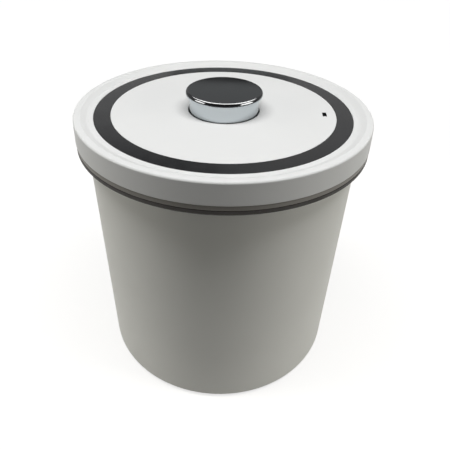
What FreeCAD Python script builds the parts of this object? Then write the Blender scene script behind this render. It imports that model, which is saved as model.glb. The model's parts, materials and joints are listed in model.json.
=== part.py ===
# Vacuum seal canister: a round storage canister whose lid holds a hand pump.
# Millimetres, +Z up, standing on Z = 0, with the canister's axis on Z.
import FreeCAD, Part
import math
import os
import Sketcher
from FreeCAD import Placement, Rotation, Vector

# Driving sizes, one spreadsheet cell each

sizes = {
    # canister
    "body_radius": 70.7,
    "body_height": 136.5,
    "body_wall": 2.6,
    "body_floor": 3.2,
    "base_round": 4.0,
    "base_recess": 1.0,
    "foot_width": 6.0,
    "inside_round": 5.0,
    "mouth_round": 0.6,
    # seal between the lid and the canister
    "gasket_thickness": 2.3,
    "gasket_inset": 0.15,
    "gasket_sleeve": 1.6,
    "gasket_clearance": 0.65,
    "gasket_lip_reach": 0.3,
    "gasket_lip_height": 0.9,
    # lid cover
    "lid_overhang": 5.25,
    "skirt_draft": 0.45,
    "deck_height": 9.4,
    "cover_wall": 2.4,
    "skirt_wall": 2.2,
    "skirt_edge_round": 0.5,
    "rim_rise": 1.7,
    "edge_round": 1.0,
    "crest_land": 2.4,
    "crest_round": 1.0,
    "slope_width": 3.1,
    "slope_foot_round": 3.0,
    "collar_depth": 3.0,
    "collar_wall": 1.6,
    "collar_edge_round": 0.2,
    # dark ring let into the lid
    "ring_margin": 2.95,
    "ring_width": 8.4,
    "ring_thickness": 1.2,
    "ring_edge_round": 0.2,
    # lid base, the dish under the cover
    "base_band": 2.2,
    "base_band_inset": 0.2,
    "base_band_round": 0.25,
    "base_flange": 2.0,
    "base_wall": 2.0,
    "base_floor": 2.4,
    "base_bead": 0.8,
    "base_bead_height": 1.2,
    "base_edge_round": 0.5,
    # screws that hold the base to the cover
    "post_count": 4,
    "post_angle": 45,
    "post_margin": 8.9,
    "post_radius": 3.6,
    "cover_screw_radius": 1.4,
    "cover_screw_grip": 9.0,
    "cover_screw_head_radius": 2.9,
    "cover_screw_head": 1.8,
    "screw_seal_thickness": 1.0,
    "screw_end_room": 1.0,
    # pump knob
    "knob_rise": 10.25,
    "knob_radius": 18.0,
    "knob_lip": 1.6,
    "knob_lip_height": 2.35,
    "knob_cap_thickness": 1.35,
    "knob_wall": 1.4,
    "knob_ceiling": 1.6,
    "knob_hub": 3.2,
    "knob_hub_radius": 6.0,
    "knob_sink": 4.0,
    "knob_gap": 0.5,
    "knob_end_gap": 3.8,
    "stroke": 7.5,
    "knob_screw_radius": 1.2,
    "knob_screw_grip": 8.0,
    "knob_screw_head_radius": 2.8,
    "knob_screw_head": 1.4,
    "knob_screw_sink": 1.6,
    # pump rod and piston
    "rod_radius": 4.0,
    "rod_flange_reach": 2.3,
    "rod_flange": 0.8,
    "rod_spigot_radius": 2.5,
    "rod_spigot": 2.2,
    "piston_thickness": 5.0,
    "piston_gap": 0.3,
    "piston_groove_depth": 1.8,
    "piston_groove_height": 2.2,
    "piston_ring_notch": 1.0,
    "piston_screw_radius": 1.0,
    "piston_screw_grip": 6.0,
    "piston_screw_head_radius": 2.5,
    "piston_screw_head": 1.4,
    "piston_screw_sink": 1.6,
    # pump barrel, its gland, nut and seal
    "barrel_gap": 0.8,
    "barrel_wall": 1.6,
    "barrel_floor": 2.0,
    "barrel_flange": 3.0,
    "barrel_flange_reach": 5.5,
    "barrel_seal_radius": 0.65,
    "barrel_end_gap": 0.4,
    "gland_thickness": 2.0,
    "gland_spigot": 1.5,
    "gland_vent_radius": 1.0,
    "gland_vent_margin": 2.2,
    "vent_count": 6,
    "stop_gap": 0.3,
    "nut_width": 5.5,
    "nut_gap": 0.8,
    "nut_notch_radius": 1.6,
    "nut_notch_count": 6,
    "nut_edge_round": 0.5,
    # check valves
    "valve_lift": 0.8,
    "valve_play": 0.2,
    "valve_hole_radius": 0.9,
    "valve_hole_count": 6,
    "flap_thickness": 0.8,
    "flap_gap": 2.9,
    "flap_width": 5.1,
    "umbrella_radius": 6.5,
    "umbrella_thickness": 1.0,
    "umbrella_edge": 0.5,
    "umbrella_stem_radius": 1.15,
    "umbrella_bulb_radius": 1.9,
    "intake_circle": 4.2,
    # inlet filter
    "filter_thickness": 2.6,
    "filter_bore_gap": 1.0,
    "filter_cap_floor": 1.6,
    "filter_cap_wall": 1.5,
    "filter_cap_grip": 2.4,
    "filter_cap_round": 0.8,
    "grille_hole_radius": 1.3,
    "grille_inner_circle": 6.0,
    "grille_inner_count": 6,
    "grille_outer_circle": 11.5,
    "grille_outer_count": 12,
    # return spring
    "spring_space": 4.6,
    "spring_radius": 9.0,
    "spring_wire": 0.9,
    "spring_turns": 4,
    # release pin beside the ring
    "release_margin": 5.85,
    "release_travel": 1.6,
    "slot_width": 1.95,
    "slot_length": 4.6,
    "pin_clearance": 0.2,
    "pin_recess": 1.0,
    "pin_guide_hold": 1.8,
    "pin_guide_wall": 1.4,
    "pin_radius": 1.6,
    "pin_collar_radius": 3.4,
    "pin_collar": 1.2,
    "pin_boss_rise": 2.4,
    "pin_boss_wall": 1.9,
    "pin_spring_length": 5.5,
    "pin_spring_radius": 2.5,
    "pin_spring_wire": 0.5,
    "pin_spring_turns": 5,
    "pin_seal_radius": 4.2,
    "pin_seal_thickness": 1.4,
    "poppet_thickness": 1.8,
    "poppet_socket": 1.0,
    "poppet_edge_round": 0.5,
    # clearances
    "fit_gap": 0.05,
    "shank_gap": 0.15,
    "running_gap": 0.06,
    # screw heads
    "screw_head_round": 0.5,
    "recess_width": 0.7,
    "recess_depth": 0.9,
    "recess_length": 2.8,
}

doc = FreeCAD.newDocument("vacuum_seal_canister")
sheet = doc.addObject("Spreadsheet::Sheet", "sizes")
for row, (alias, amount) in enumerate(sizes.items(), 1):
    sheet.set(f"A{row}", alias.replace("_", " "))
    sheet.set(f"B{row}", str(amount))
    sheet.setAlias(f"B{row}", alias)
doc.recompute()


def total(*terms):
    """A sum of sheet sizes and earlier sums; a term that starts with a minus is taken away."""
    written = ""
    for term in terms:
        sign = " - " if term.startswith("-") else " + "
        name = term.lstrip("-")
        written += sign + (f"sizes.{name}" if name in sizes else name)
    return "(" + written[3:] + ")"


def number(expression):
    return float(sheet.evalExpression(expression))


# Radii that follow from the driving sizes

mouth_radius = total("body_radius", "-body_wall")
sleeve_radius = total(mouth_radius, "-gasket_clearance")
plug_radius = total(sleeve_radius, "-gasket_sleeve", "-fit_gap")
lid_radius = total("body_radius", "lid_overhang")
lid_top_radius = total(lid_radius, "-skirt_draft")
band_radius = total(lid_radius, "-base_band_inset")
gasket_radius = total(lid_radius, "-gasket_inset")
skirt_inside = total(lid_radius, "-skirt_wall")
crest_radius = total(lid_top_radius, "-edge_round", "-crest_land")
slope_foot_radius = total(crest_radius, "-slope_width")
ring_radius = total(slope_foot_radius, "-ring_margin")
ring_inside = total(ring_radius, "-ring_width")
post_circle = total(ring_inside, "-post_margin")
release_radius = total(ring_inside, "-release_margin")
lip_radius = total("knob_radius", "knob_lip")
knob_inside = total("knob_radius", "-knob_wall")
knob_hole = total("knob_radius", "knob_gap")
barrel_radius = total(knob_inside, "-barrel_gap")
bore_radius = total(barrel_radius, "-barrel_wall")
barrel_flange_radius = total(barrel_radius, "barrel_flange_reach")
piston_radius = total(bore_radius, "-piston_gap")
piston_groove_radius = total(piston_radius, "-piston_groove_depth")
flap_radius = total(bore_radius, "-flap_gap")
flap_inside = total(flap_radius, "-flap_width")
flap_circle = f"({flap_inside} + {flap_radius}) / 2"
rod_hub_radius = total(flap_inside, "-valve_play")
rod_flange_radius = total(rod_hub_radius, "rod_flange_reach")
vent_circle = total(bore_radius, "-gland_vent_margin")

# Heights that follow from the driving sizes

floor_level = total("base_recess", "body_floor")
rim_level = total("body_height")
band_level = total(rim_level, "gasket_thickness")
skirt_level = total(band_level, "base_band")
deck_level = total(skirt_level, "deck_height")
deck_under = total(deck_level, "-cover_wall")
crest_level = total(deck_level, "rim_rise")
knob_top = total(deck_level, "knob_rise")
lip_under = total(knob_top, "-knob_lip_height")
cap_seat = total(knob_top, "-knob_cap_thickness")
ceiling_under = total(cap_seat, "-knob_ceiling")
hub_under = total(cap_seat, "-knob_hub")
knob_screw_seat = total(cap_seat, "-knob_screw_sink")
knob_foot = total(deck_level, "-knob_sink")
gland_top = total(ceiling_under, "-stroke", "-spring_space")
barrel_top = total(gland_top, "-gland_thickness")
gland_foot = total(barrel_top, "-gland_spigot")
rod_flange_top = total(gland_foot, "-stop_gap")
rod_flange_under = total(rod_flange_top, "-rod_flange")
piston_top = total(rod_flange_under, "-flap_thickness", "-valve_lift", "-valve_play")
piston_under = total(piston_top, "-piston_thickness")
spigot_foot = total(piston_top, "-rod_spigot")
piston_screw_seat = total(piston_under, "piston_screw_sink")
chamber_floor = total(piston_under, "-stroke", "-umbrella_thickness", "-valve_lift", "-barrel_end_gap")
barrel_foot = total(chamber_floor, "-barrel_floor")
filter_under = total(barrel_foot, "-filter_thickness")
filter_cap_under = total(filter_under, "-filter_cap_floor")
filter_cap_top = total(barrel_foot, "filter_cap_grip")
bulb_top = total(barrel_foot, "-valve_lift", "-valve_play")
bulb_under = total(filter_under, "valve_play", "valve_play")
barrel_seat = total(knob_foot, "-stroke", "-knob_end_gap", "-barrel_flange")
dish_under = total(barrel_seat, "-base_floor")
nut_under = total(filter_cap_top, "nut_gap")
sleeve_foot = total(dish_under, "base_bead_height")
barrel_flange_top = total(barrel_seat, "barrel_flange")
screw_seal_under = total(dish_under, "-screw_seal_thickness")
cover_screw_top = total(barrel_seat, "cover_screw_grip")
pin_top = total(deck_level, "-pin_recess")
guide_foot = total(pin_top, "-release_travel", "-pin_guide_hold")
pin_seat = total(barrel_seat, "pin_boss_rise")
collar_under = total(pin_seat, "pin_spring_length")
collar_top = total(collar_under, "pin_collar")
pin_seal_under = total(dish_under, "-pin_seal_thickness")
poppet_under = total(pin_seal_under, "-poppet_thickness")
pin_foot = total(pin_seal_under, "-poppet_socket")

cap_round_share = 0.9
lip_under_round_share = 0.15
gasket_round_share = 0.24
full_turn = 360
slots_per_recess = 2
quarters_per_turn = 4
points_per_turn = 48
tolerance = 1e-4


# Ways of making the pieces

def new_body(label):
    body = doc.addObject("PartDesign::Body", label)
    body.Label = label
    return body


def origin(body, role):
    return next(item for item in body.Origin.OriginFeatures if item.Role == role)


def new_sketch(body, name, role, level=None):
    sketch = body.newObject("Sketcher::SketchObject", name)
    sketch.AttachmentSupport = (origin(body, role), [""])
    sketch.MapMode = "FlatFace"
    if level:
        sketch.setExpression("AttachmentOffset.Base.z", level)
    return sketch


def pin_point(sketch, item, end, across, up):
    """Ties one point of a sketch to the origin by two sheet expressions."""
    for kind, expression, axis in (("DistanceX", across, -2), ("DistanceY", up, -1)):
        amount = 0.0 if expression == "0" else number(expression)
        if expression == "0":
            sketch.addConstraint(Sketcher.Constraint("PointOnObject", item, end, axis))
            continue
        if amount < 0:
            index = sketch.addConstraint(Sketcher.Constraint(kind, item, end, -1, 1, -amount))
            sketch.setExpression(f"Constraints[{index}]", f"-({expression})")
        else:
            index = sketch.addConstraint(Sketcher.Constraint(kind, -1, 1, item, end, amount))
            sketch.setExpression(f"Constraints[{index}]", expression)


def draw_outline(sketch, points):
    places = [Vector(*(0.0 if part == "0" else number(part) for part in point), 0) for point in points]
    count = len(points)
    for item in range(count):
        line = Part.LineSegment(places[item], places[(item + 1) % count])
        sketch.addGeometry(line, False)
    for item in range(count):
        sketch.addConstraint(Sketcher.Constraint("Coincident", item, 2, (item + 1) % count, 1))
    for item, (across, up) in enumerate(points):
        pin_point(sketch, item, 1, across, up)


def draw_circle(sketch, across, up, radius):
    centre = Vector(*(0.0 if part == "0" else number(part) for part in (across, up)), 0)
    item = sketch.addGeometry(Part.Circle(centre, Vector(0, 0, 1), number(radius)), False)
    pin_point(sketch, item, 3, across, up)
    index = sketch.addConstraint(Sketcher.Constraint("Radius", item, number(radius)))
    sketch.setExpression(f"Constraints[{index}]", radius)


def turned(label, points):
    """A body turned about Z from an outline of radius and height."""
    body = new_body(label)
    sketch = new_sketch(body, label + "_outline", "XZ_Plane")
    draw_outline(sketch, points)
    turn = body.newObject("PartDesign::Revolution", label + "_turn")
    turn.Profile = sketch
    turn.ReferenceAxis = (origin(body, "Z_Axis"), [""])
    turn.Angle = full_turn
    doc.recompute()
    return body


def round_edges(body, radius, *spots):
    """Rounds the circular edges about Z that lie at the given radii and heights."""
    base = body.Tip
    wanted = [(number(across), number(up)) for across, up in spots]
    names = []
    for index, edge in enumerate(base.Shape.Edges, 1):
        if not isinstance(edge.Curve, Part.Circle):
            continue
        place = (edge.Curve.Radius, edge.Curve.Center.z)
        off_axis = math.hypot(edge.Curve.Center.x, edge.Curve.Center.y)
        if off_axis < tolerance and any(math.dist(place, spot) < tolerance for spot in wanted):
            names.append(f"Edge{index}")
    if len(names) < len(wanted):
        raise ValueError(f"{body.Label}: found {len(names)} of {len(wanted)} edges to round")
    fillet = body.newObject("PartDesign::Fillet", body.Label + "_round")
    fillet.Base = (base, names)
    fillet.setExpression("Radius", radius)
    doc.recompute()


def grow(body, sketch, length):
    """Pads a sketch up from its plane."""
    pad = body.newObject("PartDesign::Pad", sketch.Name + "_pad")
    pad.Profile = sketch
    pad.setExpression("Length", length)
    doc.recompute()
    return pad


def cut(body, sketch, length):
    """Pockets a sketch up from its plane, and makes sure that it took something away."""
    before = body.Shape.Volume
    pocket = body.newObject("PartDesign::Pocket", sketch.Name + "_cut")
    pocket.Profile = sketch
    pocket.Reversed = True
    pocket.setExpression("Length", length)
    doc.recompute()
    if not body.Shape.Volume < before:
        raise ValueError(f"{body.Label}: {sketch.Name} cuts nothing")
    return pocket


def repeat(body, features, count, angle=full_turn):
    """Copies features round Z."""
    pattern = body.newObject("PartDesign::PolarPattern", features[0].Name + "_round")
    pattern.Originals = features
    pattern.Axis = (origin(body, "Z_Axis"), [""])
    pattern.Angle = angle
    pattern.setExpression("Occurrences", count)
    body.Tip = pattern
    doc.recompute()


def drill(body, name, across, up, radius, level, depth):
    sketch = new_sketch(body, name, "XY_Plane", level)
    draw_circle(sketch, across, up, radius)
    return cut(body, sketch, depth)


def stud(body, name, across, up, radius, level, length):
    sketch = new_sketch(body, name, "XY_Plane", level)
    draw_circle(sketch, across, up, radius)
    return grow(body, sketch, length)


def rectangle(body, name, across, width, length, level):
    """A rectangle sketch centred on the X axis."""
    sketch = new_sketch(body, name, "XY_Plane", level)
    near = f"{across} - ({width}) / 2"
    far = f"{across} + ({width}) / 2"
    side = f"({length}) / 2"
    draw_outline(sketch, [(near, f"-{side}"), (far, f"-{side}"), (far, side), (near, side)])
    return sketch


def group(label, shapes):
    """Several separate solids kept in one node."""
    feature = doc.addObject("Part::Feature", label)
    feature.Label = label
    feature.Shape = Part.makeCompound(shapes)
    return feature


def biarc(start, start_way, end, end_way):
    """Two arcs that leave start along start_way and reach end along end_way."""
    span = end - start
    ways = start_way + end_way
    bend = 2 * (1 - start_way.dot(end_way))
    along = span.dot(ways)
    reach = (-along + math.sqrt(along * along + bend * span.dot(span))) / bend
    middle = (start + start_way * reach + end - end_way * reach) / 2
    middle_way = (end - end_way * reach - start - start_way * reach).normalize()
    return [arc(start, start_way, middle), arc(middle, middle_way, end)]


def arc(start, way, end):
    """The arc from start to end that leaves start along way."""
    chord = end - start
    side = (way - chord * (way.dot(chord) / chord.dot(chord))).normalize()
    half_angle = way.getAngle(chord)
    sagitta = chord.Length / 2 * math.tan(half_angle / 2)
    return Part.Arc(start, (start + end) / 2 + side * sagitta, end).toShape()


def coil(label, radius, wire, turns, foot, top):
    """A round-wire compression spring about Z, from foot to top, as one unbroken tube."""
    spread, thick, count = number(radius), number(wire), int(number(turns))
    low = number(foot) + thick / 2
    rise = (number(top) - number(foot) - thick) / (count * quarters_per_turn)
    pitch_way = rise / (math.pi / 2)
    knots = []
    for step in range(count * quarters_per_turn + 1):
        angle = step * math.pi / 2
        place = Vector(spread * math.cos(angle), spread * math.sin(angle), low + rise * step)
        way = Vector(-spread * math.sin(angle), spread * math.cos(angle), pitch_way).normalize()
        knots.append((place, way))
    edges = []
    for (start, start_way), (end, end_way) in zip(knots, knots[1:]):
        edges += biarc(start, start_way, end, end_way)
    path = Part.Wire(edges)
    section = Part.Wire(Part.Circle(knots[0][0], knots[0][1], thick / 2).toShape())
    feature = doc.addObject("Part::Feature", label)
    feature.Label = label
    feature.Shape = path.makePipeShell([section], True, False)
    feature.Placement = Placement()
    print(f"{label}: least gap between turns {least_gap(path, count) - thick:.2f} mm")
    return feature


def least_gap(path, turns):
    """The least distance between points of a coil's path that lie at least half a turn apart."""
    points = path.discretize(turns * points_per_turn)
    apart = points_per_turn // 2
    return min(here.distanceToPoint(there)
               for index, here in enumerate(points)
               for there in points[index + apart:])


def screw(label, radius, grip_level, seat_level, head_radius, head, points_up):
    """A pan-head screw about Z with a cross recess in its head."""
    head_level = total(seat_level, "-" + head if points_up else head)
    body = turned(label, [
        ("0", head_level),
        (total(head_radius), head_level),
        (total(head_radius), seat_level),
        (total(radius), seat_level),
        (total(radius), grip_level),
        ("0", grip_level),
    ])
    round_edges(body, "sizes.screw_head_round", (total(head_radius), head_level))
    recess_level = head_level if points_up else total(head_level, "-recess_depth")
    sketch = rectangle(body, label + "_recess", "0", "sizes.recess_width", "sizes.recess_length",
                       recess_level)
    slot = cut(body, sketch, "sizes.recess_depth")
    repeat(body, [slot], str(slots_per_recess), full_turn / 2)
    return body


# Canister

def make_canister_body():
    foot_outside = total("body_radius", "-base_round")
    foot_inside = total(foot_outside, "-foot_width")
    body = turned("canister_body", [
        ("0", total("base_recess")),
        (foot_inside, total("base_recess")),
        (foot_inside, "0"),
        (total("body_radius"), "0"),
        (total("body_radius"), rim_level),
        (mouth_radius, rim_level),
        (mouth_radius, floor_level),
        ("0", floor_level),
    ])
    round_edges(body, "sizes.base_round", (total("body_radius"), "0"))
    round_edges(body, "sizes.inside_round", (mouth_radius, floor_level))
    round_edges(body, "sizes.mouth_round", (mouth_radius, rim_level), (total("body_radius"), rim_level))
    return body


# Lid shell, its inlaid ring and its seal

def make_lid_cover():
    collar_radius = total(knob_hole, "collar_wall")
    collar_foot = total(deck_under, "-collar_depth")
    body = turned("lid_cover", [
        (knob_hole, deck_level),
        (ring_inside, deck_level),
        (ring_inside, total(deck_level, "-ring_thickness")),
        (ring_radius, total(deck_level, "-ring_thickness")),
        (ring_radius, deck_level),
        (slope_foot_radius, deck_level),
        (crest_radius, crest_level),
        (lid_top_radius, crest_level),
        (lid_radius, skirt_level),
        (skirt_inside, skirt_level),
        (skirt_inside, deck_under),
        (collar_radius, deck_under),
        (collar_radius, collar_foot),
        (knob_hole, collar_foot),
    ])
    post_x = f"{post_circle} * cos(sizes.post_angle)"
    post_y = f"{post_circle} * sin(sizes.post_angle)"
    post = stud(body, "cover_post", post_x, post_y, "sizes.post_radius", barrel_seat,
                total(deck_under, "-" + barrel_seat))
    pilot = drill(body, "cover_pilot", post_x, post_y, total("cover_screw_radius", "fit_gap"),
                  barrel_seat, total("cover_screw_grip", "screw_end_room"))
    repeat(body, [post, pilot], "sizes.post_count")
    guide = rectangle(body, "pin_guide", release_radius,
                      "sizes.slot_width + 2 * sizes.pin_guide_wall",
                      "sizes.slot_length + 2 * sizes.pin_guide_wall", guide_foot)
    grow(body, guide, total(deck_under, "-" + guide_foot))
    slot = rectangle(body, "pin_slot", release_radius, "sizes.slot_width", "sizes.slot_length", guide_foot)
    cut(body, slot, total(deck_level, "-" + guide_foot))
    round_edges(body, "sizes.slope_foot_round", (slope_foot_radius, deck_level))
    round_edges(body, "sizes.crest_round", (crest_radius, crest_level))
    round_edges(body, "sizes.edge_round", (lid_top_radius, crest_level))
    round_edges(body, "sizes.skirt_edge_round", (lid_radius, skirt_level))
    round_edges(body, "sizes.collar_edge_round", (knob_hole, deck_level))
    return body


def make_trim_ring():
    outside = total(ring_radius, "-fit_gap")
    inside = total(ring_inside, "fit_gap")
    foot = total(deck_level, "-ring_thickness")
    body = turned("trim_ring", [
        (inside, foot),
        (outside, foot),
        (outside, deck_level),
        (inside, deck_level),
    ])
    round_edges(body, "sizes.ring_edge_round", (outside, deck_level), (inside, deck_level))
    return body


def make_lid_gasket():
    bore = total(plug_radius, "fit_gap")
    lip_radius_here = total(sleeve_radius, "gasket_lip_reach")
    lip_foot = total(sleeve_foot, "gasket_lip_height")
    body = turned("lid_gasket", [
        (bore, band_level),
        (gasket_radius, band_level),
        (gasket_radius, rim_level),
        (sleeve_radius, rim_level),
        (sleeve_radius, total(lip_foot, "gasket_lip_reach")),
        (lip_radius_here, lip_foot),
        (sleeve_radius, sleeve_foot),
        (bore, sleeve_foot),
    ])
    round_edges(body, f"sizes.gasket_thickness * {gasket_round_share}", (gasket_radius, rim_level))
    return body


# Lid base and the screws that hold it to the cover

def make_lid_base():
    flange_radius = total(skirt_inside, "-shank_gap")
    flange_top = total(skirt_level, "base_flange")
    bead_radius = total(plug_radius, "base_bead")
    inside = total(plug_radius, "-base_wall")
    body = turned("lid_base", [
        (total(barrel_radius, "fit_gap"), dish_under),
        (bead_radius, dish_under),
        (bead_radius, sleeve_foot),
        (plug_radius, sleeve_foot),
        (plug_radius, band_level),
        (band_radius, band_level),
        (band_radius, skirt_level),
        (flange_radius, skirt_level),
        (flange_radius, flange_top),
        (inside, flange_top),
        (inside, barrel_seat),
        (total(barrel_radius, "fit_gap"), barrel_seat),
    ])
    hole = drill(body, "base_screw_hole", f"{post_circle} * cos(sizes.post_angle)",
                 f"{post_circle} * sin(sizes.post_angle)", total("cover_screw_radius", "shank_gap"),
                 dish_under, "sizes.base_floor")
    repeat(body, [hole], "sizes.post_count")
    stud(body, "pin_boss", release_radius, "0", total("pin_radius", "pin_boss_wall"), barrel_seat,
         "sizes.pin_boss_rise")
    drill(body, "pin_bore", release_radius, "0", total("pin_radius", "running_gap"), dish_under,
          total("base_floor", "pin_boss_rise"))
    round_edges(body, "sizes.base_edge_round", (bead_radius, dish_under), (inside, barrel_seat))
    round_edges(body, "sizes.base_band_round", (band_radius, band_level), (band_radius, skirt_level))
    return body


def around_posts(shape):
    """Copies of a shape on Z, moved to the places of the cover's posts."""
    count = int(number("sizes.post_count"))
    across = number(post_circle)
    copies = []
    for index in range(count):
        angle = number("sizes.post_angle") + index * full_turn / count
        turn = Rotation(Vector(0, 0, 1), angle)
        copies.append(shape.copy())
        copies[-1].Placement = Placement(turn.multVec(Vector(across, 0, 0)), turn)
    return copies


def make_cover_screws():
    pattern = screw("cover_screw_pattern", "cover_screw_radius", cover_screw_top, screw_seal_under,
                    "cover_screw_head_radius", "cover_screw_head", True)
    return group("cover_screws", around_posts(pattern.Shape))


def make_screw_seals():
    inside = total("cover_screw_radius", "fit_gap")
    pattern = turned("screw_seal_pattern", [
        (inside, screw_seal_under),
        (total("cover_screw_head_radius"), screw_seal_under),
        (total("cover_screw_head_radius"), dish_under),
        (inside, dish_under),
    ])
    return group("screw_seals", around_posts(pattern.Shape))


# Pump barrel and what is fastened to it

def make_pump_barrel():
    groove_middle = f"({barrel_radius} + {barrel_flange_radius}) / 2"
    groove_top = total(barrel_seat, "barrel_seal_radius", "barrel_seal_radius")
    groove_inside = f"{groove_middle} - sizes.barrel_seal_radius - sizes.shank_gap"
    groove_outside = f"{groove_middle} + sizes.barrel_seal_radius + sizes.shank_gap"
    body = turned("pump_barrel", [
        ("0", barrel_foot),
        (barrel_radius, barrel_foot),
        (barrel_radius, barrel_seat),
        (groove_inside, barrel_seat),
        (groove_inside, groove_top),
        (groove_outside, groove_top),
        (groove_outside, barrel_seat),
        (barrel_flange_radius, barrel_seat),
        (barrel_flange_radius, barrel_flange_top),
        (barrel_radius, barrel_flange_top),
        (barrel_radius, barrel_top),
        (bore_radius, barrel_top),
        (bore_radius, chamber_floor),
        ("0", chamber_floor),
    ])
    drill(body, "intake_stem_hole", "0", "0", total("umbrella_stem_radius", "shank_gap"), barrel_foot,
          "sizes.barrel_floor")
    hole = drill(body, "intake_hole", "sizes.intake_circle", "0", "sizes.valve_hole_radius", barrel_foot,
                 "sizes.barrel_floor")
    repeat(body, [hole], "sizes.valve_hole_count")
    return body


def make_barrel_seal():
    ring = doc.addObject("Part::Torus", "barrel_seal")
    ring.Label = "barrel_seal"
    ring.setExpression("Radius1", f"({barrel_radius} + {barrel_flange_radius}) / 2")
    ring.setExpression("Radius2", "sizes.barrel_seal_radius")
    ring.setExpression("Placement.Base.z", total(barrel_seat, "barrel_seal_radius"))
    return ring


def make_barrel_nut():
    inside = total(barrel_radius, "fit_gap")
    outside = total(barrel_radius, "nut_width")
    body = turned("barrel_nut", [
        (inside, nut_under),
        (outside, nut_under),
        (outside, dish_under),
        (inside, dish_under),
    ])
    round_edges(body, "sizes.nut_edge_round", (outside, nut_under))
    notch = drill(body, "nut_notch", outside, "0", "sizes.nut_notch_radius", nut_under,
                  total(dish_under, "-" + nut_under))
    repeat(body, [notch], "sizes.nut_notch_count")
    return body


def make_barrel_gland():
    bore = total("rod_radius", "running_gap")
    spigot = total(bore_radius, "-fit_gap")
    body = turned("barrel_gland", [
        (bore, gland_foot),
        (spigot, gland_foot),
        (spigot, barrel_top),
        (barrel_radius, barrel_top),
        (barrel_radius, gland_top),
        (bore, gland_top),
    ])
    vent = drill(body, "gland_vent", vent_circle, "0", "sizes.gland_vent_radius", gland_foot,
                 total("gland_thickness", "gland_spigot"))
    repeat(body, [vent], "sizes.vent_count")
    return body


def make_inlet_filter():
    inside = total("umbrella_bulb_radius", "filter_bore_gap")
    return turned("inlet_filter", [
        (inside, filter_under),
        (total(barrel_radius, "-fit_gap"), filter_under),
        (total(barrel_radius, "-fit_gap"), barrel_foot),
        (inside, barrel_foot),
    ])


def make_filter_cap():
    inside = total(barrel_radius, "fit_gap")
    outside = total(inside, "filter_cap_wall")
    body = turned("filter_cap", [
        ("0", filter_cap_under),
        (outside, filter_cap_under),
        (outside, filter_cap_top),
        (inside, filter_cap_top),
        (inside, filter_under),
        ("0", filter_under),
    ])
    round_edges(body, "sizes.filter_cap_round", (outside, filter_cap_under))
    for ring in ("inner", "outer"):
        hole = drill(body, f"grille_{ring}_hole", f"sizes.grille_{ring}_circle", "0",
                     "sizes.grille_hole_radius", filter_cap_under, "sizes.filter_cap_floor")
        repeat(body, [hole], f"sizes.grille_{ring}_count")
    return body


def make_intake_valve():
    edge_level = total(chamber_floor, "umbrella_edge")
    crown_level = total(chamber_floor, "umbrella_thickness")
    return turned("intake_valve", [
        ("0", bulb_under),
        (total("umbrella_stem_radius"), bulb_under),
        (total("umbrella_bulb_radius"), bulb_top),
        (total("umbrella_stem_radius"), bulb_top),
        (total("umbrella_stem_radius"), chamber_floor),
        (total("umbrella_radius"), chamber_floor),
        (total("umbrella_radius"), edge_level),
        (total("umbrella_stem_radius"), crown_level),
        ("0", crown_level),
    ])


# Pump knob, rod and piston, which move together

def make_knob_shell():
    body = turned("knob_shell", [
        (total("knob_radius"), knob_foot),
        (total("knob_radius"), lip_under),
        (lip_radius, lip_under),
        (lip_radius, cap_seat),
        (total("knob_screw_head_radius", "shank_gap"), cap_seat),
        (total("knob_screw_head_radius", "shank_gap"), knob_screw_seat),
        (total("knob_screw_radius", "shank_gap"), knob_screw_seat),
        (total("knob_screw_radius", "shank_gap"), hub_under),
        (total("knob_hub_radius"), hub_under),
        (total("knob_hub_radius"), ceiling_under),
        (knob_inside, ceiling_under),
        (knob_inside, knob_foot),
    ])
    round_edges(body, f"sizes.knob_lip_height * {lip_under_round_share}", (lip_radius, lip_under),
                (total("knob_radius"), lip_under))
    return body


def make_knob_cap():
    body = turned("knob_cap", [
        ("0", cap_seat),
        (lip_radius, cap_seat),
        (lip_radius, knob_top),
        ("0", knob_top),
    ])
    round_edges(body, f"sizes.knob_cap_thickness * {cap_round_share}", (lip_radius, knob_top))
    return body


def make_knob_screw():
    return screw("knob_screw", "knob_screw_radius", total(hub_under, "-knob_screw_grip"), knob_screw_seat,
                 "knob_screw_head_radius", "knob_screw_head", False)


def make_pump_rod():
    top_pilot = total("knob_screw_radius", "fit_gap")
    top_pilot_foot = total(hub_under, "-knob_screw_grip", "-screw_end_room")
    foot_pilot = total("piston_screw_radius", "fit_gap")
    foot_pilot_top = total(spigot_foot, "piston_screw_grip", "screw_end_room")
    return turned("pump_rod", [
        (foot_pilot, spigot_foot),
        (total("rod_spigot_radius"), spigot_foot),
        (total("rod_spigot_radius"), piston_top),
        (rod_hub_radius, piston_top),
        (rod_hub_radius, rod_flange_under),
        (rod_flange_radius, rod_flange_under),
        (rod_flange_radius, rod_flange_top),
        (total("rod_radius"), rod_flange_top),
        (total("rod_radius"), hub_under),
        (top_pilot, hub_under),
        (top_pilot, top_pilot_foot),
        ("0", top_pilot_foot),
        ("0", foot_pilot_top),
        (foot_pilot, foot_pilot_top),
    ])


def make_piston():
    groove_foot = f"({piston_under} + {piston_top} - sizes.piston_groove_height) / 2"
    groove_top = f"({piston_under} + {piston_top} + sizes.piston_groove_height) / 2"
    socket = total("rod_spigot_radius", "fit_gap")
    recess = total("piston_screw_head_radius", "shank_gap")
    hole_radius = total("piston_screw_radius", "shank_gap")
    body = turned("piston", [
        (hole_radius, piston_screw_seat),
        (recess, piston_screw_seat),
        (recess, piston_under),
        (piston_radius, piston_under),
        (piston_radius, groove_foot),
        (piston_groove_radius, groove_foot),
        (piston_groove_radius, groove_top),
        (piston_radius, groove_top),
        (piston_radius, piston_top),
        (socket, piston_top),
        (socket, spigot_foot),
        (hole_radius, spigot_foot),
    ])
    hole = drill(body, "exhaust_hole", flap_circle, "0", "sizes.valve_hole_radius", piston_under,
                 "sizes.piston_thickness")
    repeat(body, [hole], "sizes.valve_hole_count")
    return body


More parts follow.
